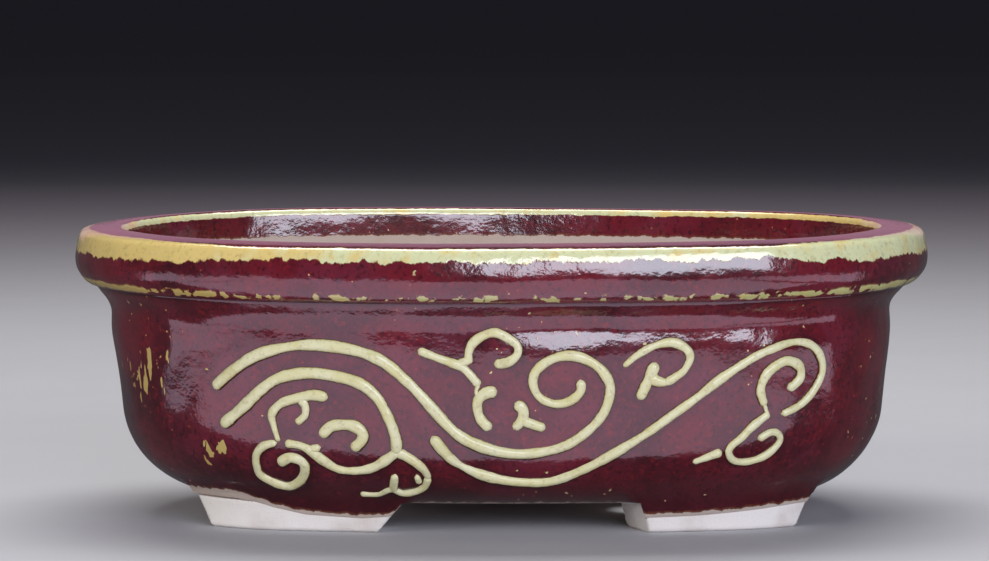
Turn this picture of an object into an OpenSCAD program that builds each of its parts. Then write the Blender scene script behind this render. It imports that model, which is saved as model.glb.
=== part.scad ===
// Oval footed planter in glazed stoneware, with raised slip-trailed scrolls.
// Millimetres. +X along the length, +Z up, front towards -Y, origin on the
// resting surface under the middle of the pot. Every horizontal section is
// a four-arc oval, and sections at other depths in the clay share its centres.

/* [Pot] */
// Overall length over the lip
pot_l = 240; // [220:1:280]
// Overall depth over the lip, front to back
pot_d = 160; // [158:0.5:164]
// Radius of the rounded ends, measured over the lip
end_r = 76; // [74:0.5:77]
// Overall height, feet included
pot_h = 81; // [76:1:110]

/* [Lip] */
// Height of the lip band
lip_h = 20.5; // [19:0.5:22]
// Width of the lip band, outer edge to inner edge
lip_w = 13.5; // [13:0.5:15]
// How far the lip stands out from the wall
lip_overhang = 8.7; // [8:0.1:9.5]
// Radius of the lip's outer shoulder
shoulder_r = 4; // [3:0.5:5]

/* [Wall] */
// Thickness of the wall
wall_t = 6.5; // [6:0.5:9]
// Lean of the wall, from the upright
wall_lean = 7.5; // [4:0.5:9]
// Radius of the curve at the foot of the wall
base_r = 27; // [26:0.5:29]

/* [Floor] */
// Thickness of the floor
floor_t = 7; // [6:0.5:10]
// Diameter of each drain hole
drain_dia = 18; // [12:1:22]
// Distance between the two drain holes
drain_gap = 84; // [70:2:96]

/* [Feet] */
// Height of the gap under the pot
foot_h = 8; // [7:0.5:9]
// Width of a foot, outside to inside
foot_w = 13; // [11:0.5:15]
// Height up to which a foot overlaps the curve of the wall
foot_joint_h = 10.4; // [9.8:0.2:12]
// How far round the end arc a foot's end cut is turned from the side of the pot
foot_end_turn = 45; // [40:1:55]
// How far the end cut slants back from the ground to its top
foot_slant = 10; // [4:1:12]

/* [Slip scrolls] */
// Width of a main slip line
line_w = 2.8; // [2:0.1:3]
// Width of a small curl's line
curl_w = 2.2; // [1.6:0.1:2.6]
// How far a line stands out from the wall
line_rise = 1.2; // [0.8:0.1:1.6]
// How deep a line is keyed into the wall
line_key = 0.4; // [0.3:0.1:0.6]

/* [Hidden] */
$fn = 96;

// Four-arc oval: end arcs about (+-end_c, 0), side arcs about (0, +-side_c)
half_l = pot_l / 2;
half_d = pot_d / 2;
side_r = (half_l * half_l - 2 * half_l * end_r + half_d * half_d)
       / (2 * (half_d - end_r));
end_c = half_l - end_r;
side_c = side_r - half_d;
// Half the angle that a side arc covers
side_half = atan(end_c / side_c);

// Heights and depths of the wall. Depths are measured in from the outer edge.
wall_top = pot_h - lip_h;
bend_z = foot_h + 22;
bend_in = lip_overhang + (wall_top - bend_z) * tan(wall_lean);
bend_steps = 10;
bead_sides = 6;
bead_step = 1.8;

glaze_red = "#5a2430";
slip_cream = "#e0d6a8";
bare_clay = "#e8dccf";

// ---- depth of the wall's outer face at a height ----
function wall_in(z) =
    z >= bend_z
    ? bend_in - (z - bend_z) * tan(wall_lean)
    : let (s = min(1, sin(wall_lean) + (bend_z - z) / base_r))
      bend_in + base_r * (cos(wall_lean) - sqrt(1 - s * s));

// A depth or height rounded to a hundredth of a millimetre, so that the arcs
// of one ring meet exactly
function hundredth(v) = round(v * 100) / 100;

// Outer face below the bend, as [depth, height] from the bend down to the floor
wall_curve = [for (i = [0:bend_steps])
    let (z = bend_z - (bend_z - foot_h) * sin(90 * i / bend_steps))
    [hundredth(wall_in(z)), hundredth(z)]];
// Depth of the edge where the wall meets the floor slab
slab_in = hundredth(wall_in(foot_h)) + 2;

// Half the depth of the oval at a place along the length, d in from the edge
function oval_y(x, d) =
    abs(x) <= (side_r - d) * sin(side_half)
    ? sqrt(pow(side_r - d, 2) - x * x) - side_c
    : sqrt(max(0, pow(end_r - d, 2) - pow(abs(x) - end_c, 2)));

// ---- oval solids ----
// The quarter of a plan that one arc fills, cut on the lines through the
// centres of two neighbouring arcs
module end_quarter() {
    linear_extrude(pot_h + 1)
        polygon([[end_c, 0], [1.5 * end_c, side_c / 2], [pot_l, side_c / 2],
                 [pot_l, -side_c / 2], [1.5 * end_c, -side_c / 2]]);
}

module side_quarter() {
    linear_extrude(pot_h + 1)
        polygon([[0, side_c], [1.5 * end_c, -side_c / 2], [-1.5 * end_c, -side_c / 2]]);
}

module turned(profile, r) {
    rotate_extrude($fn = 180) polygon([for (p = profile) [r - p[0], p[1]]]);
}

// Ring with the outline given as [depth, height] points
module oval_ring(profile) {
    for (turn = [0, 180]) rotate([0, 0, turn]) {
        intersection() {
            translate([end_c, 0, 0]) turned(profile, end_r);
            end_quarter();
        }
        intersection() {
            translate([0, side_c, 0]) turned(profile, side_r);
            side_quarter();
        }
    }
}

// Filled oval outline, d in from the outer edge
module oval_area(d) {
    intersection() {
        translate([0, side_c]) circle(side_r - d, $fn = 360);
        translate([0, -side_c]) circle(side_r - d, $fn = 360);
        square([2 * (side_r - d) * sin(side_half), pot_d], center = true);
    }
    for (side = [-1, 1]) translate([side * end_c, 0]) circle(end_r - d);
}

// ---- clay body ----
module floor_slab() {
    color(glaze_red)
    difference() {
        translate([0, 0, foot_h]) linear_extrude(floor_t) oval_area(slab_in);
        for (side = [-1, 1])
            translate([side * drain_gap / 2, 0, foot_h - 1])
                cylinder(d = drain_dia, h = floor_t + 2);
    }
}

module wall() {
    // Inner face: parallel to the outer one, then down beside the slab
    inner = [for (i = [bend_steps:-1:0])
        let (p = wall_curve[i])
        if (p[0] + wall_t < slab_in) [p[0] + wall_t, p[1]]];
    color(glaze_red)
    oval_ring(concat(
        [[lip_overhang, wall_top]], wall_curve,
        [[slab_in, foot_h], [slab_in, foot_h + floor_t]], inner,
        [[lip_overhang + wall_t, wall_top]]));
}

module lip_band() {
    shoulder = [for (a = [90:15:180])
        [hundredth(shoulder_r * (1 + cos(a))),
         hundredth(pot_h - shoulder_r * (1 - sin(a)))]];
    color(glaze_red)
    oval_ring(concat(
        [[lip_overhang + wall_t, wall_top], [lip_w, pot_h - 3],
         [lip_w - 0.3, pot_h - 1.1], [lip_w - 1.5, pot_h - 0.5], [8, pot_h - 0.1]],
        shoulder,
        [[0.3, pot_h - 10.5], [1.2, pot_h - 13.4], [2.9, pot_h - 15.3],
         [5.2, pot_h - 16.6], [lip_overhang, wall_top]]));
}

// ---- feet ----
// A foot is the part of a footing ring between two slanted cuts: one square
// to the pot's length, from near_top down to near_end, and one across the
// ring's end arc. Its outside carries on up over the curve of the wall.
module foot(near_top, near_end) {
    joint = [for (p = wall_curve) if (p[1] < foot_joint_h) p];
    outer_top = hundredth(wall_in(foot_joint_h));
    cut_top = foot_h + 4;
    color(bare_clay)
    intersection() {
        oval_ring(concat(
            [[outer_top + 2.2, 0], [outer_top, foot_joint_h]], joint,
            [[outer_top + foot_w + 2, foot_h], [outer_top + foot_w + 1, 0]]));
        rotate([90, 0, 0])
            linear_extrude(pot_d)
                polygon([[near_end, 0], [near_top, cut_top],
                         [half_l, cut_top], [half_l, 0]]);
        translate([end_c, 0, 0]) rotate([90, 0, 90 - foot_end_turn])
            linear_extrude(pot_l)
                polygon([[0, 0], [foot_slant, cut_top],
                         [-half_l, cut_top], [-half_l, 0]]);
    }
}

module long_foot() { foot(24, 34); }
module short_foot() { foot(36, 40); }

module foot_front_left() { mirror([1, 0, 0]) long_foot(); }
module foot_front_right() { short_foot(); }
module foot_back_left() { rotate([0, 0, 180]) short_foot(); }
module foot_back_right() { mirror([0, 1, 0]) long_foot(); }

// ---- slip lines ----
// A route is a list of [along the length, height] places on the wall. A
// Catmull-Rom curve runs through them.
function spline(p0, p1, p2, p3, t) =
    0.5 * (2 * p1 + (p2 - p0) * t + (2 * p0 - 5 * p1 + 4 * p2 - p3) * t * t
    + (3 * p1 - p0 - 3 * p2 + p3) * t * t * t);

function smooth(route) =
    let (last = len(route) - 1)
    concat([for (i = [0:last - 1])
        let (before = route[max(0, i - 1)], after = route[min(last, i + 2)],
             steps = max(1, round(norm(route[i + 1] - route[i]) / bead_step)))
        for (k = [0:steps - 1])
            spline(before, route[i], route[i + 1], after, k / steps)],
        [route[last]]);

// Place on the wall, d mm proud of its face
function on_wall(p, d) = [p[0], -oval_y(p[0], wall_in(p[1]) - d), p[1]];

function unit(v) = v / norm(v);

// One ring of a bead: half a round above the wall, keyed in below it
function bead_ring(p, ahead, w) =
    let (out = unit(on_wall(p, 1) - on_wall(p, 0)),
         side = unit(cross(out, ahead)),
         here = on_wall(p, 0))
    [for (k = [0:bead_sides - 1])
        let (a = k < 4 ? 60 * k : (k == 4 ? 215 : 325))
        here + side * w / 2 * cos(a)
             + out * (k < 4 ? line_rise * sin(a) : -line_key)];

module bead(route, w) {
    path = smooth(route);
    last = len(path) - 1;
    n = bead_sides;
    rings = [for (i = [0:last])
        bead_ring(path[i],
            unit(on_wall(path[min(last, i + 1)], 0) - on_wall(path[max(0, i - 1)], 0)),
            i == 0 || i == last ? 0.6 * w : w)];
    polyhedron(
        points = [for (ring = rings) each ring],
        faces = concat(
            [[for (k = [0:n - 1]) k]],
            [for (i = [0:last - 1]) for (k = [0:n - 1])
                let (a = i * n + k, b = i * n + (k + 1) % n)
                each [[a, a + n, b + n], [a, b + n, b]]],
            [[for (k = [n - 1:-1:0]) last * n + k]]));
}

// The same line on the front and, turned half round, on the back
module slip_line(route, w) {
    color(slip_cream)
    for (turn = [0, 180]) rotate([0, 0, turn]) bead(route, w);
}

module wave_upper() {
    slip_line([
        [-77.5, 41], [-72, 46], [-65, 50.5], [-55, 53], [-46, 53], [-38, 51.5], [-32, 49],
        [-27, 45], [-22, 40], [-13, 30], [-6, 26], [1.5, 24], [9, 24], [17, 26],
        [23.5, 30.5], [27.5, 35.5], [29, 41.5], [27.5, 45.5], [24.5, 48.5], [20, 50.5],
        [15.5, 50.5], [11, 48.5], [8.5, 45.5], [8.5, 42], [10.5, 39], [14.5, 37.5],
        [18.5, 38.5], [21, 41], [21, 43.5]],
        line_w);
}
module wave_lower() {
    slip_line([
        [-18.5, 28], [-14, 22.5], [-8.5, 19], [-1, 16.5], [7, 15.5], [14, 16],
        [22.5, 19.5], [30.5, 24], [38.5, 29], [45.5, 34], [52.5, 39], [59, 44], [67, 49],
        [73, 51.5], [79.5, 53], [84.5, 52], [87, 48.5], [87.5, 44], [85, 39], [81, 35.5],
        [76.5, 33.5]],
        line_w);
}
module arch_line() {
    slip_line([
        [-75.5, 30.5], [-69.5, 36], [-65, 40.5], [-60, 44], [-53, 45.5], [-46, 45],
        [-38.5, 43], [-34, 39.5], [-31.5, 35.5], [-29.5, 31], [-28.5, 27], [-28.5, 24]],
        line_w);
}
module arch_tendril() {
    slip_line([
        [-58, 26], [-54.5, 25.5], [-51.5, 24], [-48.5, 21.5], [-44.5, 19], [-40, 18.5],
        [-35, 19.5], [-31, 22], [-28.5, 24]],
        curl_w);
    slip_line([[-52, 25], [-49.5, 25]], line_w);
}
module arch_leaf() {
    slip_line([
        [-47.5, 39], [-51, 39.5], [-55.5, 38.5], [-59.5, 37], [-62, 34], [-61.5, 30.5],
        [-60.5, 27]],
        curl_w);
    slip_line([[-54, 38], [-53, 36.5], [-53, 34], [-55, 32]], curl_w);
}
module snail_curl() {
    slip_line([
        [-61.5, 26], [-64.5, 25], [-66.5, 22.5], [-66.5, 19], [-65.5, 16.5], [-62, 14.5],
        [-58, 13.5], [-55, 15], [-53.5, 17.5], [-53.5, 20], [-55, 21.5], [-57.5, 22],
        [-60, 20.5]],
        line_w);
}
module inner_curl() {
    slip_line([
        [-48.5, 28.5], [-46, 31], [-42.5, 31.5], [-39.5, 31], [-37.5, 29], [-38, 27],
        [-40, 25]],
        line_w);
}
module root_squiggle() {
    slip_line([
        [-38, 11.5], [-33.5, 11.5], [-30, 13], [-27, 12], [-23.5, 13], [-21, 14.5]],
        curl_w);
    slip_line([[-28, 24], [-24.5, 22], [-21.5, 19.5], [-20, 17]], curl_w);
    slip_line([[-29, 17], [-29.5, 13]], curl_w);
    slip_line([[-23, 17], [-22.5, 15.5]], curl_w);
}
module centre_tendril() {
    slip_line([[-22, 52], [-17, 50], [-11.5, 48], [-9, 46], [-6.5, 43]], curl_w);
    slip_line([[-11.5, 48.5], [-9, 49.5]], curl_w);
}
module centre_curl_high() {
    slip_line([
        [-8.5, 51.5], [-8, 54], [-5.5, 56], [-2, 57], [1.5, 55.5], [4, 53.5], [4, 51],
        [1.5, 49], [-1.5, 48.5]],
        curl_w);
}
module centre_curl_low() {
    slip_line([
        [-2, 41], [-4.5, 40.5], [-6.5, 38.5], [-6.5, 35.5], [-5.5, 33], [-3.5, 31]],
        line_w);
}
module centre_hook() {
    slip_line([[4, 38], [6, 36], [6, 33.5], [4, 31]], line_w);
    slip_line([[6, 33.5], [8, 32], [11, 31]], curl_w);
}
module leaf_curl() {
    slip_line([
        [33, 48], [36, 50.5], [40.5, 53], [45.5, 54], [49, 52.5], [50.5, 50], [49, 46.5],
        [46.5, 44.5], [44, 43]],
        line_w);
}
module leaf_vein() {
    slip_line([[41, 48], [39.5, 44.5], [37, 39]], line_w);
    slip_line([[40.5, 43.5], [43, 43]], curl_w);
}
module right_curl_high() {
    slip_line([
        [70.5, 36.5], [69.5, 40.5], [71, 44.5], [74, 47], [77.5, 48], [80.5, 46.5],
        [81, 43.5], [80, 41.5], [78, 40.5]],
        line_w);
}
module right_curl_low() {
    slip_line([
        [71.5, 33.5], [68, 30.5], [65, 27.5], [62, 25], [61.5, 23], [63.5, 21],
        [67, 20.5], [71, 21.5], [74, 23.5], [76, 26], [75.5, 28.5], [73.5, 29],
        [70.5, 27.5]],
        curl_w);
}
module right_dash() {
    slip_line([[52, 21], [58.5, 23.5]], curl_w);
}

floor_slab();
wall();
lip_band();
foot_front_left();
foot_front_right();
foot_back_left();
foot_back_right();
wave_upper();
wave_lower();
arch_line();
arch_tendril();
arch_leaf();
snail_curl();
inner_curl();
root_squiggle();
centre_tendril();
centre_curl_high();
centre_curl_low();
centre_hook();
leaf_curl();
leaf_vein();
right_curl_high();
right_curl_low();
right_dash();
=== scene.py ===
"""Looks of the oval footed bonsai pot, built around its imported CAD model.

Lengths in this script are millimetres until a mesh is made: MM turns them into
metres. A place on the pot is given by the outward angle of its wall and by its
depth, which is measured in from the outer edge of the lip.
"""
import math

import bmesh
import bpy
import numpy as np
from mathutils.kdtree import KDTree
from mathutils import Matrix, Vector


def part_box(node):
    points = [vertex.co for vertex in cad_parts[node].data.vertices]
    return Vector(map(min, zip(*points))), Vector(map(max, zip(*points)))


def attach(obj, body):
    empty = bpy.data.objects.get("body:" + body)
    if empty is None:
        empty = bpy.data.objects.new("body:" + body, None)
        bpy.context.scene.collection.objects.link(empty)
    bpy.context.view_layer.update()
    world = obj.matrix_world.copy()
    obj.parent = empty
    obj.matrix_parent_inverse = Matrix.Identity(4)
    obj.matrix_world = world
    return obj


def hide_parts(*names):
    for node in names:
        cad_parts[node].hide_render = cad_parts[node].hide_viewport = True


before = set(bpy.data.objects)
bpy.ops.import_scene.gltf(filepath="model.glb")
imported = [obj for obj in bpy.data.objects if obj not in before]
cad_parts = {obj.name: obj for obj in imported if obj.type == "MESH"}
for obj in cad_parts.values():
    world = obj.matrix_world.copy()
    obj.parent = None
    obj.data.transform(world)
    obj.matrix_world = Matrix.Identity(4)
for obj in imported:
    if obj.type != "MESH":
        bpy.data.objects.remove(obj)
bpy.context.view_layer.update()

MM = 0.001

# ---- sizes of the pot, read from the CAD nodes where they can be ----
LIP_LOW, LIP_HIGH = (np.array(corner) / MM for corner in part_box("lip_band"))
WALL_HIGH = np.array(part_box("wall")[1]) / MM
SLAB_LOW, SLAB_HIGH = (np.array(corner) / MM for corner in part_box("floor_slab"))
HALF_L, HALF_D, POT_H = LIP_HIGH
WALL_TOP = LIP_LOW[2]
FOOT_H = SLAB_LOW[2]
SLAB_TOP = SLAB_HIGH[2]
LIP_OVERHANG = HALF_L - WALL_HIGH[0]
SLAB_IN = HALF_L - SLAB_HIGH[0]
# Radius of the oval's end arcs at the lip
END_R = 76.0
# The wall is WALL_T thick, leans out by WALL_LEAN, and below BEND_Z curves in at BASE_R
WALL_T = 6.5
WALL_LEAN = math.radians(7.5)
BASE_R = 27.0
BEND_Z = FOOT_H + 22
# Height and reach of the finger groove under the lip
GROOVE_Z = WALL_TOP - 0.7
GROOVE_REACH = 6.0
# Place and radius of the drain holes
DRAIN_X = 42.0
DRAIN_R = 9.0

# A slip line of FULL_WIDTH stands LINE_RISE out from the wall. Its places are TRAIL_STEP
# apart, and it ends TIP_STEPS of them past its route. TRAIL_WIDTH scales every width that
# SLIP_LINES gives.
LINE_RISE = 1.2
FULL_WIDTH = 3.2
TRAIL_STEP = 0.45
TIP_STEPS = 1.5
TRAIL_WIDTH = 0.94
# The furthest from a slip line that glaze can pool and painted shade can lie
SLIP_REACH = 4.0

# A foot is cut off at both ends, in lines that slant from FOOT_CUT_TOP down to the
# ground: across the pot's length at its near end, (ground, top) along the length,
# and across the end arc at its far end, turned FOOT_END_TURN from the side of the pot.
# A short foot's near cut goes SHORT_TURN along the length for each millimetre inwards.
FOOT_CUT_TOP = FOOT_H + 4
LONG_NEAR = (34, 24)
SHORT_NEAR = (40, 36)
FOOT_END_TURN = math.radians(45)
FOOT_SLANT = 10
SHORT_TURN = 0.45

# The glaze lies SKIN off a foot's face. On the wall it ends at PLAIN_LINE, between the feet.
SKIN = 0.15
PLAIN_LINE = 8.5
FEET_FROM_Y = 24

# Numbers of a place that lies far from every edge, and above or below the glaze's edge
FAR = 50.0
GLAZED = 9.0
BARE = -9.0

# Four-arc oval: centres and the half angle of a side arc
SIDE_R = (HALF_L**2 - 2 * HALF_L * END_R + HALF_D**2) / (2 * (HALF_D - END_R))
END_C = HALF_L - END_R
SIDE_C = SIDE_R - HALF_D
SIDE_HALF = math.atan2(END_C, SIDE_C)
BEND_IN = LIP_OVERHANG + (WALL_TOP - BEND_Z) * math.tan(WALL_LEAN)

# ---- slip lines on the front wall ----
# Each is (width at its start, width at its end) and a route of places
# (along the length, height) that a smooth curve runs through.
SLIP_LINES = {
    "wave_upper": [
        ((3.7, 2.8), [
            (-77.5, 41), (-72, 46), (-65, 50.5), (-55, 53), (-46, 53), (-38, 51.5), (-32, 49),
            (-27, 45), (-22, 40), (-13, 30), (-6, 26), (1.5, 24), (9, 24), (17, 26), (23.5, 30.5),
            (27.5, 35.5), (29, 41.5), (27.5, 45.5), (24.5, 48.5), (20, 50.5), (15.5, 50.5),
            (11, 48.5), (8.5, 45.5), (8.5, 42), (10.5, 39), (14.5, 37.5), (18.5, 38.5), (21, 41),
            (21, 43.5)])],
    "wave_lower": [
        ((3.1, 2.6), [
            (-18.5, 28), (-14, 22.5), (-8.5, 19), (-1, 16.5), (7, 15.5), (14, 16), (22.5, 19.5),
            (30.5, 24), (38.5, 29), (45.5, 34), (52.5, 39), (59, 44), (67, 49), (73, 51.5),
            (79, 53), (83.5, 52), (86, 48.5), (86.5, 44), (84, 39), (80.5, 35.5), (76, 33.5)])],
    "arch_line": [
        ((3.9, 3.4), [
            (-75.5, 30.5), (-69.5, 36), (-65, 40.5), (-60, 44), (-53, 45.5), (-46, 45), (-38.5, 43),
            (-34, 39.5), (-31.5, 35.5), (-29.5, 31), (-28.5, 27), (-28.5, 24)])],
    "arch_tendril": [
        ((2.4, 3.2), [
            (-58, 26), (-54.5, 25.5), (-51.5, 24), (-48.5, 21.5), (-44.5, 19), (-40, 18.5),
            (-35, 19.5), (-31, 22), (-28.5, 24)]),
        ((2.2, 2.4), [
            (-51.5, 24.5), (-49.5, 25)])],
    "arch_leaf": [
        ((3.8, 2.0), [
            (-47.5, 39), (-51, 39.5), (-55.5, 38.5), (-59.5, 37), (-62, 34), (-61.5, 30.5),
            (-60.5, 27)]),
        ((2.8, 2.6), [
            (-54, 38), (-53, 36.5), (-53, 34), (-55, 32)])],
    "snail_curl": [
        ((2.8, 3.2), [
            (-61.5, 26), (-64.5, 25), (-66.5, 22.5), (-66.5, 19), (-65.5, 16.5), (-62, 14.5),
            (-58, 13.5), (-55, 15), (-53.5, 17.5), (-53.5, 20), (-55, 21.5), (-57.5, 22),
            (-60, 20.5)])],
    "inner_curl": [
        ((3.4, 3.6), [
            (-48.5, 28.5), (-46, 31), (-42.5, 31.5), (-39.5, 31), (-37.5, 29), (-38, 27), (-40, 25)])],
    "root_squiggle": [
        ((1.9, 2.8), [
            (-38, 11.5), (-33.5, 11.5), (-30, 13), (-27, 12), (-23.5, 12.5), (-21, 14), (-20, 16.5)]),
        ((3.2, 2.2), [
            (-28, 24), (-24.5, 22), (-21.5, 19.5), (-20, 17)]),
        ((2.4, 2.6), [
            (-29, 17), (-29.5, 13)]),
        ((2.0, 2.0), [
            (-23, 17), (-22.5, 15.5)])],
    "centre_tendril": [
        ((2.6, 2.8), [
            (-22, 52), (-17, 50), (-11.5, 48), (-9, 46), (-6.5, 43)]),
        ((3.0, 2.6), [
            (-11.5, 48.5), (-9, 49.5)])],
    "centre_curl_high": [
        ((2.7, 2.8), [
            (-9, 49), (-9, 51.5), (-8, 54), (-5.5, 56), (-2, 57), (1.5, 55.5), (4, 53.5), (4, 51),
            (1.5, 49), (-1.5, 48.5)])],
    "centre_curl_low": [
        ((3.0, 3.2), [
            (-2, 41), (-4.5, 40.5), (-6.5, 38.5), (-6.5, 35.5), (-5.5, 33), (-3.5, 31)]),
        ((1.4, 1.6), [
            (-6.5, 42.5), (-7, 41), (-6.5, 39.5)])],
    "centre_hook": [
        ((4.4, 2.8), [
            (4, 37.5), (5.5, 36), (5.5, 33.5), (3.5, 31)]),
        ((3.6, 2.8), [
            (5.5, 33), (8, 32), (11, 31)])],
    "leaf_curl": [
        ((2.4, 2.8), [
            (33, 48), (36, 50.5), (40.5, 53), (45.5, 54), (49, 52.5), (50.5, 50), (49, 46.5),
            (46.5, 44.5), (44, 43)])],
    "leaf_vein": [
        ((3.2, 3.8), [
            (41, 48), (39.5, 44.5), (37, 39)]),
        ((4.2, 2.0), [
            (40, 44.5), (41.5, 43.5), (44, 43)])],
    "right_curl_high": [
        ((3.0, 3.2), [
            (70.5, 36.5), (69.5, 40.5), (71, 44.5), (74, 47), (77, 48), (80, 46.5), (80.5, 43.5),
            (79, 41.5), (77.5, 40.5)]),
        ((1.6, 1.7), [
            (70.5, 36.5), (71, 35), (71.5, 33.5)])],
    "right_curl_low": [
        ((2.4, 2.6), [
            (71.5, 33.5), (67.5, 30.5), (64.5, 27.5), (61.5, 25), (61, 23), (62.5, 21), (66, 20.5),
            (70, 21.5), (73, 23.5), (75, 26), (74.5, 28), (72.5, 28.5), (69.5, 27)])],
    "right_dash": [
        ((2.2, 2.4), [
            (52, 21), (58.5, 23.5)])],
}


# ---- shape of the oval ----
def oval_place(angle, depth):
    """x and y of the place whose outward direction is angle, depth in from the edge."""
    end_reach = math.pi / 2 - SIDE_HALF
    turn = np.mod(angle + math.pi, 2 * math.pi) - math.pi
    right = np.abs(turn) <= end_reach
    left = np.abs(turn) >= math.pi - end_reach
    back = ~right & ~left & (turn > 0)
    centre_x = np.where(right, END_C, np.where(left, -END_C, 0.0))
    centre_y = np.where(right | left, 0.0, np.where(back, -SIDE_C, SIDE_C))
    radius = np.where(right | left, END_R, SIDE_R)
    return centre_x + (radius - depth) * np.cos(turn), centre_y + (radius - depth) * np.sin(turn)


def even_angles(count, depth=12.0):
    """Outward angles of places spaced evenly round the oval."""
    fine = np.linspace(0, 2 * math.pi, 7201)
    x, y = oval_place(fine, depth)
    length = np.concatenate([[0], np.cumsum(np.hypot(np.diff(x), np.diff(y)))])
    return np.interp(np.arange(count) / count * length[-1], length, fine)


def wall_in(z):
    """Depth of the wall's outer face at height z."""
    z = np.asarray(z, float)
    straight = BEND_IN - (z - BEND_Z) * math.tan(WALL_LEAN)
    slope = np.minimum(1, math.sin(WALL_LEAN) + (BEND_Z - z) / BASE_R)
    curved = BEND_IN + BASE_R * (math.cos(WALL_LEAN) - np.sqrt(np.maximum(0, 1 - slope**2)))
    return np.where(z >= BEND_Z, straight, curved)


def front_angle(x, depth):
    """Outward angle of the front place at x."""
    side = np.arcsin(np.clip(x / (SIDE_R - depth), -1, 1))
    end = np.arcsin(np.clip((np.abs(x) - END_C) / (END_R - depth), -1, 1))
    turn = np.where(np.abs(side) <= SIDE_HALF, side, np.sign(x) * end)
    return turn - math.pi / 2


def waves(points, size, amount, seed):
    """Smooth lumps of about that size, as a sum of waves in random directions."""
    rng = np.random.default_rng(seed)
    total = np.zeros(len(points))
    count = 18
    for _ in range(count):
        way = rng.normal(size=3)
        way *= 2 * math.pi / (size * rng.uniform(0.7, 1.6) * np.linalg.norm(way))
        total += np.sin(points @ way + rng.uniform(0, 2 * math.pi))
    return amount * total / math.sqrt(count / 2)


def handmade(points, out):
    """Moves places on the true shape to where the potter's hands left them."""
    push = waves(points, 110, 0.35, 1) + waves(points, 34, 0.17, 2) + waves(points, 11, 0.05, 3)
    # The finger that joined the lip left a groove under it, deeper towards one end: the
    # right of the front, and the other end of the back
    facing = -points[:, 0] * np.clip(points[:, 1] / 40, -1, 1)
    deeper = np.clip((facing + 35) / 50, 0, 1)
    push -= (0.7 + 1.1 * deeper) * np.exp(-((points[:, 2] - GROOVE_Z) / GROOVE_REACH)**2)
    lift = waves(points, 160, 0.22, 4) * np.clip(points[:, 2] / POT_H, 0, 1)**2
    moved = points + out * push[:, None]
    moved[:, 2] += lift
    return moved


def smooth_path(points, step, closed=False):
    """Catmull-Rom curve through the points, with places about step apart."""
    points = np.asarray(points, float)
    count = len(points)
    if closed:
        padded = np.vstack([points[-1:], points, points[:2]])
    else:
        padded = np.vstack([points[:1], points, points[-1:]])
    fine = []
    for i in range(count if closed else count - 1):
        p0, p1, p2, p3 = padded[i:i + 4]
        t = np.linspace(0, 1, 24, endpoint=False)[:, None]
        fine.append(0.5 * (2 * p1 + (p2 - p0) * t + (2 * p0 - 5 * p1 + 4 * p2 - p3) * t**2
                           + (3 * p1 - p0 - 3 * p2 + p3) * t**3))
    fine.append(padded[1:2] if closed else padded[-1:])
    return even_path(np.vstack(fine), step)


def even_path(points, step):
    """The same polyline with places evenly spaced, about step apart."""
    length = np.concatenate([[0], np.cumsum(np.linalg.norm(np.diff(points, axis=0), axis=1))])
    count = max(2, round(length[-1] / step) + 1)
    at = np.linspace(0, length[-1], count)
    return np.stack([np.interp(at, length, points[:, k]) for k in range(points.shape[1])], 1)


# ---- mesh building ----
def make_mesh(name, points, faces, values=None):
    """A smooth-shaded piece from places in millimetres, with one number per place by name."""
    mesh = bpy.data.meshes.new(name)
    mesh.from_pydata((np.asarray(points) * MM).tolist(), [], faces)
    for key, numbers in (values or {}).items():
        layer = mesh.attributes.new(key, "FLOAT", "POINT")
        layer.data.foreach_set("value", np.asarray(numbers, np.float32))
    work = bmesh.new()
    work.from_mesh(mesh)
    bmesh.ops.recalc_face_normals(work, faces=work.faces)
    work.to_mesh(mesh)
    work.free()
    mesh.polygons.foreach_set("use_smooth", [True] * len(mesh.polygons))
    piece = bpy.data.objects.new(name, mesh)
    bpy.context.scene.collection.objects.link(piece)
    return piece


def grid_faces(rows, columns, wrap_rows, wrap_columns):
    """Quads of a grid of places numbered row by row."""
    r = np.arange(rows if wrap_rows else rows - 1)
    c = np.arange(columns if wrap_columns else columns - 1)
    r, c = (g.ravel() for g in np.meshgrid(r, c, indexing="ij"))
    r2, c2 = (r + 1) % rows, (c + 1) % columns
    quads = np.stack([r * columns + c, r2 * columns + c, r2 * columns + c2, r * columns + c2], 1)
    return quads.tolist()


def outline_length(outline):
    """Distance along an outline to each of its places."""
    gaps = np.linalg.norm(np.diff(outline, axis=0), axis=1)
    return np.concatenate([[0], np.cumsum(gaps)])


def swept_ring(name, outline, around, value_maker, reshape=None):
    """A ring round the whole oval from a closed outline of [depth, height] places.

    reshape gives some places another depth and height; a depth of -1 leaves one alone.
    """
    angle = np.repeat(even_angles(around), len(outline))
    depth = np.tile(outline[:, 0], around)
    along = np.tile(outline_length(outline), around)
    x, y = oval_place(angle, depth)
    true = np.stack([x, y, np.tile(outline[:, 1], around)], 1)
    if reshape:
        new_depth, height = reshape(true, along)
        x, y = oval_place(angle, np.where(new_depth < 0, depth, new_depth))
        true = np.stack([x, y, height], 1)
    out = np.stack([np.cos(angle), np.sin(angle), np.zeros(len(angle))], 1)
    faces = grid_faces(around, len(outline), True, True)
    return make_mesh(name, handmade(true, out), faces, value_maker(true, along))


# ---- the feet's shape ----
def foot_ends(x, y, z):
    """Distances inside a foot's near cut and end cut at height z, negative outside."""
    rise = z / FOOT_CUT_TOP
    ground = np.where(x * y > 0, LONG_NEAR[0], SHORT_NEAR[0])
    top = np.where(x * y > 0, LONG_NEAR[1], SHORT_NEAR[1])
    near = np.abs(x) - (ground + (top - ground) * rise)
    past = (np.abs(x) - END_C) * math.cos(FOOT_END_TURN) - np.abs(y) * math.sin(FOOT_END_TURN)
    return near, FOOT_SLANT * rise - past


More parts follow.
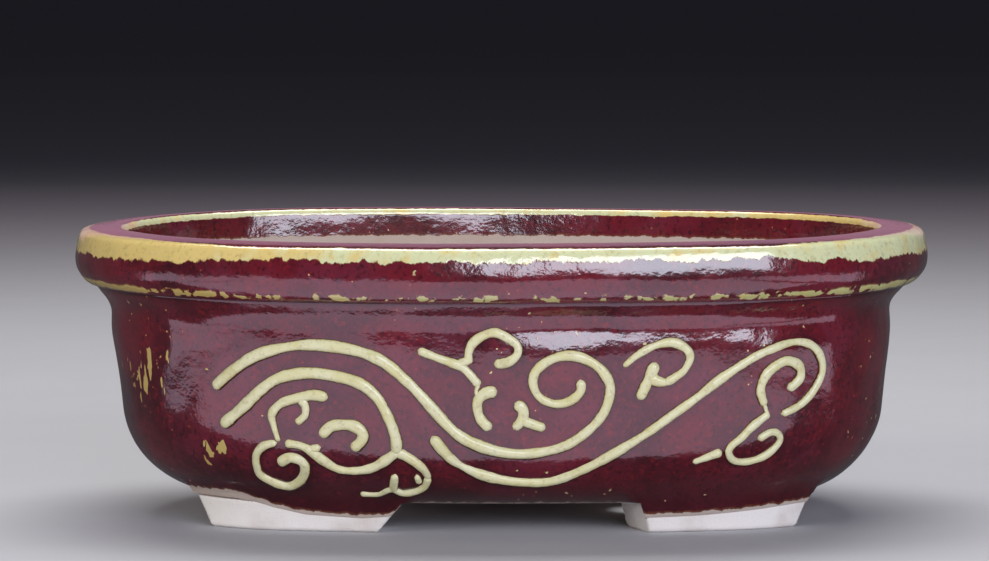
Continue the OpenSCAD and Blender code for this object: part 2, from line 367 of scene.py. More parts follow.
def foot_inside(x, y, z):
    """Distance inside a foot's nearer cut at height z, negative outside."""
    return np.minimum(*foot_ends(x, y, z))


def foot_cut(x, y):
    """Height at which the foot begins above the ground at this place."""
    near, end = foot_ends(x, y, 0.0)
    near_slant = np.where(x * y > 0, LONG_NEAR[0] - LONG_NEAR[1], SHORT_NEAR[0] - SHORT_NEAR[1])
    return np.maximum(np.maximum(-near / near_slant, -end / FOOT_SLANT), 0) * FOOT_CUT_TOP


def foot_face(x, y, z):
    """Depth of a foot's outer face, which flares a little towards its side end."""
    face = np.interp(z, [0, 2, 4, 6, FOOT_H, 10, 12, 14],
                     [28.2, 27.9, 27.5, 27.0, 26.3, 25.0, 23.0, 21.2])
    flare = np.clip((np.abs(x) - 55) / 25, 0, 1) * np.clip(1 - z / FOOT_CUT_TOP, 0, 1)
    return face - 3.7 * flare


# ---- where the glaze lies ----
def glaze_line(x, y):
    """Height of the glaze's lower edge: down to the rim between the feet, wavy on them."""
    mirrored = np.where(y > 0, -x, x)
    return np.interp(mirrored, [-90, -72, -68, -62, -53, -38, -31, -26, -24, 34, 36, 40, 55, 70, 88],
                     [10.4, 10.9, 9.4, 7.6, 5.8, 5.0, 5.6, 8.0, 8.5, 8.5, 5.8, 5.4, 5.8, 6.6, 7.8])


def outside_glaze(points):
    """Millimetres above the glaze's lower edge, negative on bare clay."""
    beside_foot = np.abs(points[:, 1]) > FEET_FROM_Y
    line = np.where(beside_foot, glaze_line(points[:, 0], points[:, 1]), PLAIN_LINE)
    return points[:, 2] - line


def straw_side(points):
    """From 0 to 1 towards the end where the thin glaze is straw yellow, and not pale."""
    x, y = points[:, 0], points[:, 1]
    front = np.clip(0.5 - y / 60, 0, 1)
    toward_left, toward_right = np.clip((-x - 25) / 65, 0, 1), np.clip((x - 25) / 65, 0, 1)
    return toward_left * front + toward_right * (1 - front)


def thin_glaze(x, z):
    """How thin the glaze ran in two patches towards the end of the wall, from 0 to 1."""
    return np.maximum(np.exp(-((x + 98) / 13)**2 - ((z - 42) / 9)**2),
                      np.exp(-((x + 78) / 5)**2 - ((z - 23) / 8)**2))


# ---- clay pieces ----
def plain_values(points):
    """Numbers for bare clay that has no lip edges on it, which other pieces add to."""
    bare, far = np.full(len(points), BARE), np.full(len(points), FAR)
    none = np.zeros(len(points))
    return {"glazed": bare, "from_shoulder": far, "from_arris": far, "from_inner": far,
            "at_end": none, "straw": none, "pool_and_shade": none + 0.5, "streaks": none}


def lip_band():
    """The rolled band, with a crown and a crisp lower arris."""
    low, top = WALL_TOP, POT_H
    outline = smooth_path([
        (LIP_OVERHANG + WALL_T, low), (14.4, top - 10), (14.0, top - 4), (13.7, top - 1.5),
        (13.2, top - 0.5), (12.0, top), (9.0, top), (5.0, top - 0.3), (2.6, top - 0.7),
        (1.4, top - 1.5), (0.85, top - 2.8), (0.45, top - 4.6), (0.1, top - 6.8),
        (0, top - 9.2), (0.35, top - 11.4), (1.3, top - 13.3), (2.4, top - 14.8),
        (3.6, top - 15.6), (4.8, top - 15.8), (7.0, top - 15.5), (9.6, top - 15.7),
        (10.6, top - 17), (10.8, low)], 0.42, closed=True)[:-1]
    length = outline_length(outline)

    def nearest(depth, below):
        """Distance along the outline to its place nearest this one, below the top."""
        return length[np.argmin(np.hypot(outline[:, 0] - depth, outline[:, 1] - top + below))]
    shoulder, blotches, inner = nearest(1.4, 1.5), nearest(1.9, 14.2), nearest(13.5, 1.0)
    arris = nearest(4.0, 15.7)

    def values(points, along):
        facing_in = along < inner + 1
        return {
            **plain_values(points),
            "glazed": np.where(facing_in, points[:, 2] - (top - 8.0), GLAZED),
            "from_shoulder": along - shoulder,
            "from_arris": along - blotches,
            "from_inner": inner - along,
            "at_end": np.clip((np.abs(points[:, 0]) - 68) / 36, 0, 1),
            "straw": straw_side(points),
            # Pooled glaze and painted shade on the lip's underside, past the arris
            "pool_and_shade": np.clip((along - arris) / 1.5, 0, 1) * 0.8,
        }
    return swept_ring("lip_band_piece", outline, 1400, values)


def slip_distance(points, routes):
    """Distance of each place to the nearest slip line, no more than SLIP_REACH."""
    tree = KDTree(len(routes))
    for index, place in enumerate(routes):
        tree.insert(place, index)
    tree.balance()
    return np.array([min(SLIP_REACH, tree.find(place)[2]) for place in points])


def wall(routes):
    """The bent wall, glazed outside and bare inside, with the cove under the lip.

    routes are the places of the slip lines, beside which the glaze pools and shade is painted.
    """
    top, base, bend = POT_H, FOOT_H + 0.6, 16.0
    cove_end = top - 23.5
    cove = smooth_path([
        (7.5, top - 15.1), (5.5, top - 15.4), (5.35, top - 16.2), (5.8, top - 17.0),
        (6.5, top - 18.1), (7.3, top - 19.2), (8.0, top - 20.4), (8.6, top - 21.8),
        (wall_in(cove_end), cove_end)], 0.5)
    heights = np.linspace(cove_end - 0.4, base, 110)
    outside = np.vstack([cove, np.stack([wall_in(heights), heights], 1)])
    inside_z = np.linspace(SLAB_TOP, WALL_TOP, 60)
    inside = np.stack([np.minimum(wall_in(inside_z) + WALL_T, SLAB_IN), inside_z], 1)
    outline = even_path(np.vstack([
        outside, [(wall_in(FOOT_H) + 0.5, FOOT_H), (SLAB_IN, FOOT_H), (SLAB_IN, SLAB_TOP)],
        inside, outside[:1]]), 0.6)[:-1]
    turn = outline_length(outline)[np.argmin(np.hypot(outline[:, 0] - SLAB_IN,
                                                      outline[:, 1] - FOOT_H))]

    def values(points, along):
        outer = along < turn
        gap = np.where(outer, slip_distance(points, routes), SLIP_REACH)
        front = np.clip(0.5 - points[:, 1] / 24, 0, 1)
        thin = np.maximum(thin_glaze(points[:, 0], points[:, 2]) * front,
                          thin_glaze(-points[:, 0], points[:, 2]) * (1 - front))
        # Pooled glaze and painted shade: darker red in the cove under the lip, towards the base, and
        # in a ring beside each slip line
        under_lip_shade = np.clip((points[:, 2] - (POT_H - 17.5)) / 1.5, 0, 1)
        near_base_shade = np.clip(1 - (points[:, 2] - FOOT_H) / 12, 0, 1)
        beside_slip_shade = np.clip(1 - np.abs(gap - 1.8) / 0.6, 0, 1)
        return {
            **plain_values(points),
            "glazed": np.where(outer, outside_glaze(points), BARE),
            "straw": straw_side(points),
            "pool_and_shade": np.maximum.reduce([under_lip_shade * 0.7, near_base_shade * 0.6, beside_slip_shade * 0.5]),
            "streaks": thin,
        }

    def over_feet(points, along):
        """Carries the lower wall down over the feet, as far as the glaze runs.

        Below bend the wall stretches from base down to low, and curls in at the glaze's edge.
        """
        x, y, z = points.T
        line = glaze_line(x, y)
        low = np.clip(np.maximum(line - 1.6, foot_cut(x, y) + SKIN), 0, base)
        lower = np.where(z < bend, bend - (bend - z) * (bend - low) / (bend - base), z)
        face = np.minimum(foot_face(x, y, lower) - SKIN, wall_in(lower))
        on_foot = np.clip(foot_inside(x, y, np.minimum(lower, FOOT_CUT_TOP)) / 5 + 1, 0, 1)
        on_foot = on_foot * on_foot * (3 - 2 * on_foot)
        depth = wall_in(lower) + (face - wall_in(lower)) * on_foot
        depth += np.clip((line - 0.7 - lower) / 0.9, 0, 1) * 4 * SKIN * (lower < FOOT_H)
        outer = (along < turn - 3) & (z < bend)
        return np.where(outer, depth, -1), np.where(outer, lower, z)
    return swept_ring("wall_piece", outline, 1100, values, over_feet)


def finish_solid(name, rough, voxel):
    """A bare clay piece: the rough solid remeshed evenly, with its cut edges softened."""
    remesh = rough.modifiers.new("even", "REMESH")
    remesh.mode = "VOXEL"
    remesh.voxel_size = voxel * MM
    soften = rough.modifiers.new("soften", "SMOOTH")
    soften.factor = 0.5
    soften.iterations = 3
    graph = bpy.context.evaluated_depsgraph_get()
    mesh = bpy.data.meshes.new_from_object(rough.evaluated_get(graph))
    points = np.empty(len(mesh.vertices) * 3)
    mesh.vertices.foreach_get("co", points)
    points = points.reshape(-1, 3) / MM
    faces = [list(face.vertices) for face in mesh.polygons]
    bpy.data.objects.remove(rough)
    bpy.data.meshes.remove(mesh)
    out = points * [1, 1, 0]
    out /= np.maximum(np.linalg.norm(out, axis=1), 1)[:, None]
    return make_mesh(name, handmade(points, out), faces, plain_values(points))


def floor_slab():
    """The floor, with two drain holes."""
    angle = even_angles(240)
    x, y = oval_place(angle, np.full(len(angle), SLAB_IN))
    loops = [np.stack([x, y], 1)]
    for side in (-1, 1):
        a = np.linspace(0, 2 * math.pi, 64, endpoint=False)
        loops.append(np.stack([side * DRAIN_X + DRAIN_R * np.cos(a), DRAIN_R * np.sin(a)], 1))
    curve = bpy.data.curves.new("floor_rough", "CURVE")
    curve.dimensions = "2D"
    curve.fill_mode = "BOTH"
    curve.extrude = (SLAB_TOP - FOOT_H) / 2 * MM
    for loop in loops:
        spline = curve.splines.new("POLY")
        spline.points.add(len(loop) - 1)
        for point, (px, py) in zip(spline.points, loop):
            point.co = (px * MM, py * MM, 0, 1)
        spline.use_cyclic_u = True
    rough = bpy.data.objects.new("floor_rough", curve)
    bpy.context.scene.collection.objects.link(rough)
    graph = bpy.context.evaluated_depsgraph_get()
    mesh = bpy.data.meshes.new_from_object(rough.evaluated_get(graph))
    middle = (SLAB_TOP + FOOT_H) / 2 * MM
    for vertex in mesh.vertices:
        vertex.co.z += middle
    bpy.data.objects.remove(rough)
    solid = bpy.data.objects.new("floor_solid", mesh)
    bpy.context.scene.collection.objects.link(solid)
    return finish_solid("floor_slab_piece", solid, 0.8)


def foot(name, long_foot, flip_x, flip_y):
    """A cut foot: the part of a footing ring between two slanted cuts."""
    ground, near_top = LONG_NEAR if long_foot else SHORT_NEAR
    turned = 0.0 if long_foot else SHORT_TURN
    face_z = np.array([0, 0.7, 2, 4, 6, FOOT_H, FOOT_H + 0.8, 12, 14])
    round_in = np.array([0.7, 0, 0, 0, 0, 0, 0, 0.4, 0.8])
    back = np.array([(31, 15), (36, FOOT_H + 1), (41, FOOT_H + 0.5), (41, 0.7), (40, 0)])
    height = np.concatenate([face_z, back[:, 1]])
    rise = np.minimum(height, FOOT_H + 1) / FOOT_CUT_TOP
    steps = 60
    share = np.linspace(0, 1, steps)[:, None]
    depth = np.tile(np.concatenate([28.0 + 0 * face_z, back[:, 0]]), (steps, 1))
    # The ends' angles depend on the depth and the depth on the ends, so it settles in rounds
    for _ in range(3):
        near = ground + (near_top - ground) * rise - turned * (depth - 28)
        first = front_angle(near, depth)
        last = FOOT_END_TURN - math.pi / 2 + FOOT_SLANT * rise / (END_R - depth)
        angle = first + (last - first) * share
        x, y = oval_place(angle, depth)
        front = foot_face(x, y, height)[:, :len(face_z)] + round_in
        # Above the wall's underside the foot stays inside the wall
        hidden = np.where(face_z > FOOT_H, wall_in(face_z) + 0.7, 0)
        front = np.maximum(front, hidden)
        depth = np.hstack([front, np.tile(back[:, 0], (steps, 1))])
    points = np.stack([x.ravel() * (-1 if flip_x else 1), y.ravel() * (-1 if flip_y else 1),
                       np.tile(height, steps)], 1)
    count = len(height)
    faces = grid_faces(steps, count, False, True)
    faces.append(list(range(count)))
    faces.append(list(range((steps - 1) * count, steps * count)))
    rough = make_mesh(name + "_rough", points, faces)
    return finish_solid(name + "_piece", rough, 0.5)


# ---- slip lines ----
def on_wall(route, back):
    """Places and outward directions on the wall along a route of [x, height]."""
    depth = wall_in(route[:, 1])
    angle = front_angle(route[:, 0], depth)
    x, y = oval_place(angle, depth)
    places = np.stack([x, y, route[:, 1]], 1)
    out = np.stack([np.cos(angle), np.sin(angle), np.zeros(len(angle))], 1)
    if back:
        places *= [-1, -1, 1]
        out *= [-1, -1, 1]
    return places, out


def all_slip_places():
    """Places along every slip line, front and back, for the pooled glaze and painted shade beside
    them.
    """
    found = []
    for strokes in SLIP_LINES.values():
        for _, route in strokes:
            for back in (False, True):
                found.append(on_wall(smooth_path(route, 0.6), back)[0])
    return np.vstack(found)


def bead(route, widths, back, seed):
    """One trailed bead: places, faces and how far each place is up its side."""
    path = smooth_path(route, TRAIL_STEP)
    first, last = path[0] - path[1], path[-1] - path[-2]
    path = np.vstack([path[0] + first * TIP_STEPS, path, path[-1] + last * TIP_STEPS])
    path = even_path(path, TRAIL_STEP)
    places, out = on_wall(path, back)
    places = handmade(places, out)
    ahead = np.gradient(places, axis=0)
    ahead /= np.linalg.norm(ahead, axis=1)[:, None]
    side = np.cross(out, ahead)
    side /= np.linalg.norm(side, axis=1)[:, None]
    up = np.cross(ahead, side)
    up *= np.sign(np.sum(up * out, axis=1))[:, None]
    reach = outline_length(places)
    width = np.interp(reach / reach[-1], [0, 1], widths) * TRAIL_WIDTH
    from_tip = np.minimum(reach, reach[-1] - reach)
    tip = np.sqrt(np.clip(1 - (1 - np.clip(from_tip / (width * 0.5), 0, 1))**2, 0.02, 1))
    flat = path @ np.eye(2, 3)
    wander = 1 + waves(flat + seed, 11, 0.07, seed) + waves(flat, 3.5, 0.045, seed + 1)
    half = width / 2 * wander * tip
    rise = LINE_RISE * np.sqrt(width / FULL_WIDTH) * wander * tip
    # Across the bead: its round crown, then a root sunk in the wall
    spread = np.linspace(-1, 1, 17)
    across = np.concatenate([spread, [1.12, 0.7, -0.7, -1.12]])
    crown = np.concatenate([(1 - np.abs(spread)**2.2)**0.62, [-0.35, -0.5, -0.5, -0.35]])
    points = (places[:, None] + side[:, None] * (half[:, None] * across)[:, :, None]
              + up[:, None] * (rise[:, None] * crown)[:, :, None])
    count = len(across)
    faces = grid_faces(len(path), count, False, True)
    faces.append(list(range(count)))
    faces.append(list(range((len(path) - 1) * count, len(path) * count)))
    return points.reshape(-1, 3), faces, np.tile(np.maximum(crown, 0), len(path))


def slip_piece(name, strokes, seed):
    """All the beads of one slip node, on the front and turned half round on the back."""
    points, faces, crowns = [], [], []
    start = 0
    for number, (widths, route) in enumerate(strokes):
        for back in (False, True):
            some, quads, crown = bead(route, widths, back, seed + number)
            points.append(some)
            crowns.append(crown)
            faces += [[index + start for index in quad] for quad in quads]
            start += len(some)
    return make_mesh(name + "_piece", np.vstack(points), faces,
                     {"crown": np.concatenate(crowns)})


# ---- materials ----
class Nodes:
    """Short ways to wire a material's nodes."""

    def __init__(self, name):
        self.material = bpy.data.materials.new(name)
        self.material.use_nodes = True
        self.tree = self.material.node_tree
        self.shader = self.tree.nodes["Principled BSDF"]
        self.place = self.add("ShaderNodeTexCoord").outputs["Object"]

    def add(self, kind, **settings):
        """A new node of that kind, with its settings."""
        node = self.tree.nodes.new(kind)
        for key, value in settings.items():
            setattr(node, key, value)
        return node

    def feed(self, socket, value):
        """Links value to the socket, or sets it where it is a plain number or colour."""
        if isinstance(value, bpy.types.NodeSocket):
            self.tree.links.new(value, socket)
        elif isinstance(value, tuple) and len(value) == 3 and socket.type == "RGBA":
            socket.default_value = (*value, 1)
        else:
            socket.default_value = value

    def number(self, name):
        """The number that make_mesh stored in each place under that name."""
        return self.add("ShaderNodeAttribute", attribute_name=name).outputs["Fac"]

    def math(self, operation, a, b=0.0, c=0.0, clamp=False):
        node = self.add("ShaderNodeMath", operation=operation, use_clamp=clamp)
        for socket, value in zip(node.inputs, (a, b, c)):
            self.feed(socket, value)
        return node.outputs[0]

    def noise(self, size, detail=3.0, roughness=0.55, stretch=(1, 1, 1), distortion=0.0):
        """Noise from 0 to 1 whose lumps are about size millimetres."""
        mapping = self.add("ShaderNodeMapping")
        self.feed(mapping.inputs["Vector"], self.place)
        mapping.inputs["Scale"].default_value = stretch
        node = self.add("ShaderNodeTexNoise")
        self.feed(node.inputs["Vector"], mapping.outputs[0])
        node.inputs["Scale"].default_value = 1 / (size * MM)
        node.inputs["Detail"].default_value = detail
        node.inputs["Roughness"].default_value = roughness
        node.inputs["Distortion"].default_value = distortion
        return node.outputs["Fac"]

    def step(self, value, low, high):
        """0 below low, 1 above high, smooth between."""
        node = self.add("ShaderNodeMapRange", interpolation_type="SMOOTHSTEP")
        self.feed(node.inputs["Value"], value)
        self.feed(node.inputs["From Min"], low)
        self.feed(node.inputs["From Max"], high)
        return node.outputs[0]

    def distance(self):
        """Metres from the origin."""
        node = self.add("ShaderNodeVectorMath", operation="LENGTH")
        self.feed(node.inputs[0], self.place)
        return node.outputs["Value"]

    def mix(self, share, a, b):
        """Colour a where share is 0, b where it is 1."""
        node = self.add("ShaderNodeMix", data_type="RGBA")
        self.feed(node.inputs["Factor"], share)
        self.feed(node.inputs["A"], a)
        self.feed(node.inputs["B"], b)
        return node.outputs["Result"]

    def blend(self, share, a, b):
        """Number a where share is 0, b where it is 1."""
        node = self.add("ShaderNodeMix", data_type="FLOAT")
        self.feed(node.inputs["Factor"], share)
        self.feed(node.inputs["A"], a)
        self.feed(node.inputs["B"], b)
        return node.outputs["Result"]

    def bump(self, height, distance, before=None):
        """Relief of a height from 0 to 1, distance in millimetres."""
        node = self.add("ShaderNodeBump")
        node.inputs["Distance"].default_value = distance * MM
        self.feed(node.inputs["Height"], height)
        if before is not None:
            self.feed(node.inputs["Normal"], before)
        return node.outputs[0]


# Colours of the glaze over the clay, where it breaks thin, of the slip and of the clay
RED_DEEP = (0.062, 0.0034, 0.0095)
RED_MID = (0.150, 0.0068, 0.0165)
RED_BRIGHT = (0.260, 0.0120, 0.0150)
RED_MAUVE = (0.150, 0.0160, 0.0360)
# Darker red for pooled glaze that also stands in for painted shade under the lip, near the base and
# beside the slip lines
RED_POOL_AND_SHADE = (0.026, 0.0018, 0.0050)
FLECK_DARK = (0.016, 0.0020, 0.0040)
CREAM = (0.80, 0.60, 0.21)
CREAM_PALE = (0.74, 0.75, 0.43)
CREAM_OLIVE = (0.48, 0.44, 0.14)
OCHRE = (0.50, 0.35, 0.10)
OLIVE_PALE = (0.55, 0.50, 0.17)
SLIP = (0.72, 0.67, 0.35)
SLIP_PALE = (0.77, 0.74, 0.46)
RUST = (0.20, 0.07, 0.025)
CLAY_FOOT = (0.90, 0.84, 0.79)
# The clay inside and under the pot is the feet's clay painted darker, as painted shade
CLAY_INSIDE_SHADED = (0.52, 0.42, 0.36)
CLAY_SPOT = (0.42, 0.30, 0.22)

# The floor, mottled between two pale greys near the pot and dark from FLOOR_FADE[1] metres
FLOOR_PALE = (0.50, 0.50, 0.52)
FLOOR_PALER = (0.53, 0.53, 0.55)
FLOOR_DARK = (0.075, 0.070, 0.095)
FLOOR_FADE = (0.55, 1.9)


def red_glaze_colour(n, pool_and_shade):
    """Oxblood red with mauve drifts, bright and dark grains, darkened where glaze pools and where
    shade is painted.
    """
    drift = n.step(n.noise(24, 4), 0.36, 0.66)
    mauve = n.step(n.noise(17, 4, distortion=0.5), 0.46, 0.66)
    bright = n.step(n.noise(1.6, 4), 0.50, 0.80)
    dark = n.step(n.noise(1.2, 4, stretch=(1, 1, 0.8)), 0.50, 0.70)
    red = n.mix(drift, RED_DEEP, RED_MID)
    red = n.mix(n.math("MULTIPLY", mauve, 0.6), red, RED_MAUVE)
    red = n.mix(n.math("MULTIPLY", bright, 0.7), red, RED_BRIGHT)
    red = n.mix(n.math("MULTIPLY", dark, 0.6), red, FLECK_DARK)
    return n.mix(pool_and_shade, red, RED_POOL_AND_SHADE)


def cream_colour(n, straw, pale, more_straw=0.0):
    """Where the glaze breaks thin: from straw to pale in drifts, with rust and olive specks.

    more_straw above 0 gives the straw colour more of the drifts, and below 0 fewer.
    """
    share = n.math("SUBTRACT", n.noise(6, 4), more_straw)
    cream = n.mix(n.step(share, 0.32, 0.62), straw, pale)
    cream = n.mix(n.math("MULTIPLY", n.step(n.noise(1.3, 4), 0.52, 0.74), 0.28), cream, RUST)
    return n.mix(n.math("MULTIPLY", n.step(n.noise(2.2, 4), 0.55, 0.75), 0.4), cream, CREAM_OLIVE)


def clay_colour(n, base):
    """Bare fired clay with grains and faint stains."""
    stain = n.mix(n.math("MULTIPLY", n.step(n.noise(16, 4), 0.45, 0.75), 0.35), base, CLAY_SPOT)
    grain = n.step(n.noise(0.45, 2), 0.68, 0.76)
    return n.mix(n.math("MULTIPLY", grain, 0.5), stain, CLAY_SPOT)


def lip_bands(n, teeth, at_end):
    """Where the glaze breaks along the lip: on its crown, its arris and its inner edge."""
    ragged = n.math("ADD", teeth, n.math("MULTIPLY_ADD", n.noise(13, 2), 3.6, -1.8))
    shoulder = n.number("from_shoulder")
    lower_edge = n.math("SUBTRACT", n.math("MULTIPLY_ADD", at_end, 2.2, 3.1), shoulder)
    below = n.step(n.math("ADD", lower_edge, ragged), -0.2, 0.7)
    upper_edge = n.math("MULTIPLY_ADD", at_end, 1.8, shoulder)
    above = n.step(n.math("MULTIPLY_ADD", ragged, 0.6, upper_edge), -1.6, -0.6)
    crown_band = n.math("MULTIPLY", below, above)

    wander = n.math("MULTIPLY_ADD", n.noise(9, 2), 1.6, -0.8)
    from_arris = n.math("ABSOLUTE", n.math("ADD", n.number("from_arris"), wander))
    blotch = n.math("MULTIPLY_ADD", at_end, 2.9, n.math("MULTIPLY_ADD", n.noise(4.2, 5), 18.0, -9.2))
    blotch = n.math("ADD", blotch, n.math("MULTIPLY_ADD", n.noise(35, 1), 3.0, -1.5))
    blotch = n.math("MINIMUM", blotch, 1.5)
    half_width = n.math("MULTIPLY_ADD", teeth, 0.45, blotch)
    arris_band = n.step(n.math("SUBTRACT", half_width, from_arris), -0.5, 1.1)

    inner = n.math("MULTIPLY_ADD", teeth, 0.3, n.number("from_inner"))
    inner_band = n.math("MULTIPLY", n.step(inner, -1.1, -0.6), n.step(inner, 1.3, 0.8))
    return crown_band, arris_band, inner_band


def wall_marks(n):
    """Upright streaks where the glaze ran thin, and scattered flecks."""
    limit = n.math("MULTIPLY_ADD", n.number("streaks"), -0.31, 0.82)
    streak_noise = n.noise(2.6, 2, stretch=(1, 1, 0.30))
    streak = n.step(n.math("SUBTRACT", streak_noise, limit), 0.0, 0.03)
    fleck = n.math("MULTIPLY", n.step(n.noise(1.6, 1), 0.73, 0.77), n.step(n.noise(22, 2), 0.5, 0.62))
    return n.math("MAXIMUM", streak, n.math("MULTIPLY", fleck, 0.8))


def glaze_relief(n, glazed, broken):
    """Orange peel and pits in the glaze, the edge of its layer and the grains of bare clay."""
    peel = n.bump(n.noise(3.0, 2, stretch=(1, 1, 1.4)), 0.10)
    pits = n.bump(n.noise(1.0, 2), 0.035, peel)
    layer = n.bump(glazed, 0.12, pits)
    bare = n.math("SUBTRACT", 1.0, glazed)
    grains = n.bump(n.math("MULTIPLY", n.noise(0.35, 3), bare), 0.10, layer)
    return n.bump(broken, 0.04, grains)


def clay_body(name, bare):
    """The pot's clay: bare or under red glaze that breaks to cream on its edges."""
    n = Nodes(name)
    teeth = n.math("MULTIPLY_ADD", n.noise(2.3, 3, stretch=(1, 1, 0.5)), 3.8, -1.9)
    crown_band, arris_band, inner_band = lip_bands(n, teeth, n.number("at_end"))
    marks = wall_marks(n)
    bands = n.math("MAXIMUM", n.math("MAXIMUM", crown_band, arris_band), inner_band)
    broken = n.math("MAXIMUM", bands, marks)

    rim = n.mix(n.step(broken, 0.02, 0.35), red_glaze_colour(n, n.number("pool_and_shade")), RUST)
    straw = n.number("straw")
    cream = cream_colour(n, CREAM, CREAM_PALE, n.math("MULTIPLY_ADD", straw, 0.36, -0.10))
    thin = n.math("MAXIMUM", arris_band, n.math("MULTIPLY", marks, 0.8))
    cream = n.mix(n.math("MULTIPLY", thin, 0.85), cream, n.mix(straw, OLIVE_PALE, OCHRE))
    glaze = n.mix(n.step(broken, 0.25, 0.8), rim, cream)

    height_glazed = n.math("MULTIPLY_ADD", teeth, 0.55, n.number("glazed"))
    glazed = n.step(height_glazed, -0.12, 0.12)
    fringe = n.step(height_glazed, 0.8, 0.1)
    glaze = n.mix(n.math("MULTIPLY", fringe, 0.55), glaze, RUST)
    n.feed(n.shader.inputs["Base Color"], n.mix(glazed, clay_colour(n, bare), glaze))

    gloss = n.math("MULTIPLY_ADD", n.noise(6, 3), 0.12, 0.10)
    n.feed(n.shader.inputs["Roughness"], n.blend(glazed, 0.78, gloss))
    n.shader.inputs["IOR"].default_value = 1.60
    n.feed(n.shader.inputs["Coat Weight"], n.math("MULTIPLY", glazed, 0.7))
    n.shader.inputs["Coat Roughness"].default_value = 0.05
    n.shader.inputs["Coat IOR"].default_value = 1.55
    relief = glaze_relief(n, glazed, broken)
    n.feed(n.shader.inputs["Normal"], relief)
    n.feed(n.shader.inputs["Coat Normal"], relief)
    return n.material


def slip_glaze(name):
    """Trailed slip under thin glaze: cream crown, rust and red down the sides."""
    n = Nodes(name)
    crown = n.number("crown")
    ragged = n.math("MULTIPLY_ADD", n.noise(1.1, 3), 0.5, -0.25)
    height = n.math("ADD", crown, ragged)
    red = red_glaze_colour(n, 0.7)
    side = n.mix(n.step(height, 0.08, 0.30), red, RUST)
    olive = n.mix(n.step(height, 0.22, 0.42), side, CREAM_OLIVE)
    cream = cream_colour(n, SLIP, SLIP_PALE)
    n.feed(n.shader.inputs["Base Color"], n.mix(n.step(height, 0.34, 0.62), olive, cream))
    n.feed(n.shader.inputs["Roughness"], n.math("MULTIPLY_ADD", n.noise(3, 3), 0.16, 0.12))
    n.shader.inputs["IOR"].default_value = 1.5
    peel = n.bump(n.noise(1.8, 2), 0.07)
    n.feed(n.shader.inputs["Normal"], n.bump(n.noise(0.5, 2), 0.02, peel))
    return n.material


def floor_material():
    """Plain pale floor that darkens far from the pot."""
    n = Nodes("studio_floor")
    pale = n.mix(n.noise(40, 2), FLOOR_PALE, FLOOR_PALER)
    far = n.step(n.distance(), *FLOOR_FADE)
    n.feed(n.shader.inputs["Base Color"], n.mix(far, pale, FLOOR_DARK))
    n.shader.inputs["Roughness"].default_value = 0.75
    return n.material


# ---- camera, lights and floor ----
# The camera that was fitted to the photo, in millimetres and degrees
VIEW_DISTANCE = 1250.0
VIEW_HEIGHT = 168.0
VIEW_PITCH = 4.706
VIEW_PAN = 0.100
SENSOR = 36.0
LENS = 161.2

# Sheets of light lying in front of the pot, which only the glaze mirrors: (x, y, across,
# along) in metres, with a power in watts for each square metre
CARDS = ((-0.02, -0.249, 0.40, 0.342), (-0.43, -0.20, 0.40, 0.34), (0.41, -0.20, 0.40, 0.34))
CARD_HEIGHT = 0.002
CARD_POWER = 3.3


def add_camera():
    camera = bpy.data.objects.new("camera", bpy.data.cameras.new("camera"))
    camera.data.sensor_width = SENSOR
    camera.data.lens = LENS
    camera.location = (0, -VIEW_DISTANCE * MM, VIEW_HEIGHT * MM)
    camera.rotation_euler = (math.radians(90 - VIEW_PITCH), 0, math.radians(VIEW_PAN))
    bpy.context.scene.collection.objects.link(camera)
    bpy.context.scene.camera = camera


def add_light(name, place, target, size, power, colour, lights=True, mirrored=True):
    """An area light aimed at target, in metres and watts.

    Without lights it lights nothing and only shows in gloss; without mirrored, the reverse.
    """
    light = bpy.data.lights.new(name, "AREA")
    light.shape = "RECTANGLE"
    light.size, light.size_y = size
    light.energy = power
    light.color = colour
    lamp = bpy.data.objects.new(name, light)
    lamp.location = place
    way = np.array(target) - np.array(place)
    lamp.rotation_euler = (math.acos(-way[2] / np.linalg.norm(way)), 0,
                           math.atan2(way[1], way[0]) - math.pi / 2)
    lamp.visible_camera = False
    lamp.visible_diffuse = lights
    lamp.visible_glossy = mirrored
    bpy.context.scene.collection.objects.link(lamp)


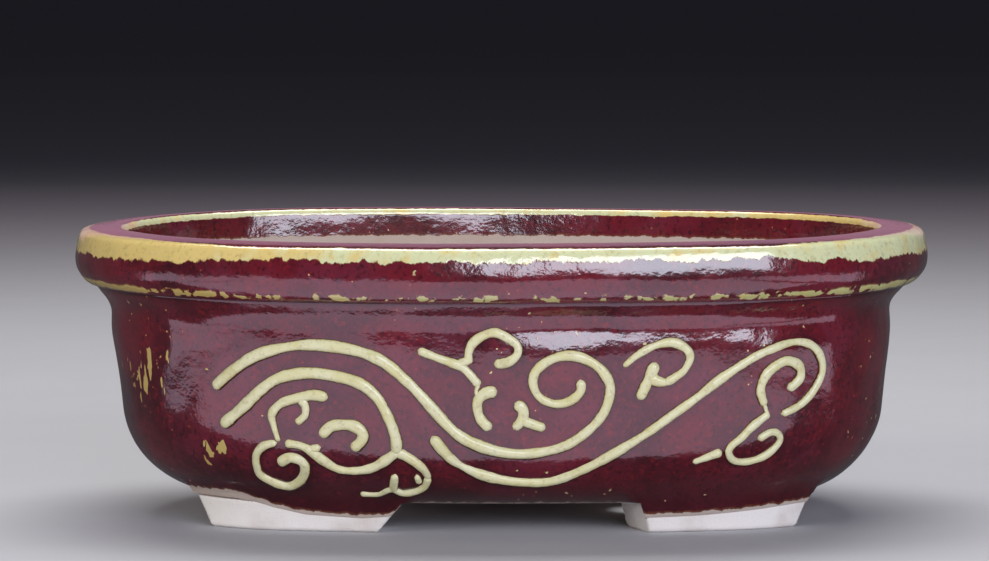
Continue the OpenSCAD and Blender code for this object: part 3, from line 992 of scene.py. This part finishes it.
def sweep_floor():
    """A round floor whose rim curves up all round, further out than any camera stands."""
    flat, curve, rim = 3400.0, 900.0, 1500.0
    turn = np.linspace(0, math.pi / 2, 24)
    radius = np.concatenate([[1.0, 300, 900], flat + curve * np.sin(turn), [flat + curve]])
    height = np.concatenate([[0, 0, 0], curve * (1 - np.cos(turn)), [rim]])
    around = 96
    angle = np.linspace(0, 2 * math.pi, around, endpoint=False)[:, None]
    points = np.stack([radius * np.cos(angle), radius * np.sin(angle),
                       np.tile(height, (around, 1))], 2).reshape(-1, 3)
    faces = grid_faces(around, len(radius), True, False)
    faces.append([index * len(radius) for index in range(around)])
    floor = make_mesh("studio_floor", points, faces)
    floor.data.materials.append(floor_material())
    # The glaze mirrors the lights and the dim room, as on dark cloth, and not the pale floor
    floor.visible_glossy = False


def add_studio():
    pot = (0, 0, 0.05)
    add_light("window", (0.66, -1.36, 0.50), pot, (1.45, 0.62), 18.5, (0.82, 0.86, 1.0))
    add_light("fill", (-1.1, -0.9, 0.65), pot, (0.9, 0.6), 8.5, (1.0, 0.97, 0.93), mirrored=False)
    add_light("top", (0.0, 0.3, 1.0), pot, (0.9, 0.5), 9.5, (1.0, 1.0, 1.0))
    for number, (x, y, across, along) in enumerate(CARDS):
        add_light("card_%d" % number, (x, y, CARD_HEIGHT), (x, y, 1.0), (along, across),
                  CARD_POWER * across * along, (1.0, 0.78, 1.0), lights=False)
    add_light("back_card", (0.0, 1.5, 0.36), pot, (1.9, 0.50), 0.95, (1.0, 0.42, 0.66), lights=False)
    world = bpy.data.worlds.new("studio")
    world.use_nodes = True
    background = world.node_tree.nodes["Background"]
    background.inputs["Color"].default_value = (0.78, 0.78, 0.86, 1)
    background.inputs["Strength"].default_value = 0.09
    bpy.context.scene.world = world
    bpy.context.scene.view_settings.view_transform = "Standard"
    sweep_floor()


# ---- putting it together ----
def place_piece(piece, node, material):
    """Gives a piece its material, hangs it under the root body and hides the CAD node that it stands
    in for.
    """
    piece.data.materials.append(material)
    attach(piece, "root")
    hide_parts(node)


def build():
    add_camera()
    add_studio()
    glaze = clay_body("oxblood_glaze", CLAY_INSIDE_SHADED)
    foot_clay = clay_body("bare_foot_clay", CLAY_FOOT)
    slip = slip_glaze("cream_slip")
    place_piece(lip_band(), "lip_band", glaze)
    place_piece(wall(all_slip_places()), "wall", glaze)
    place_piece(floor_slab(), "floor_slab", glaze)
    for node, long_foot, flip_x, flip_y in (
            ("foot_front_left", True, True, False), ("foot_front_right", False, False, False),
            ("foot_back_left", False, True, True), ("foot_back_right", True, False, True)):
        place_piece(foot(node, long_foot, flip_x, flip_y), node, foot_clay)
    for number, (node, strokes) in enumerate(SLIP_LINES.items()):
        place_piece(slip_piece(node, strokes, 10 * number + 5), node, slip)


build()
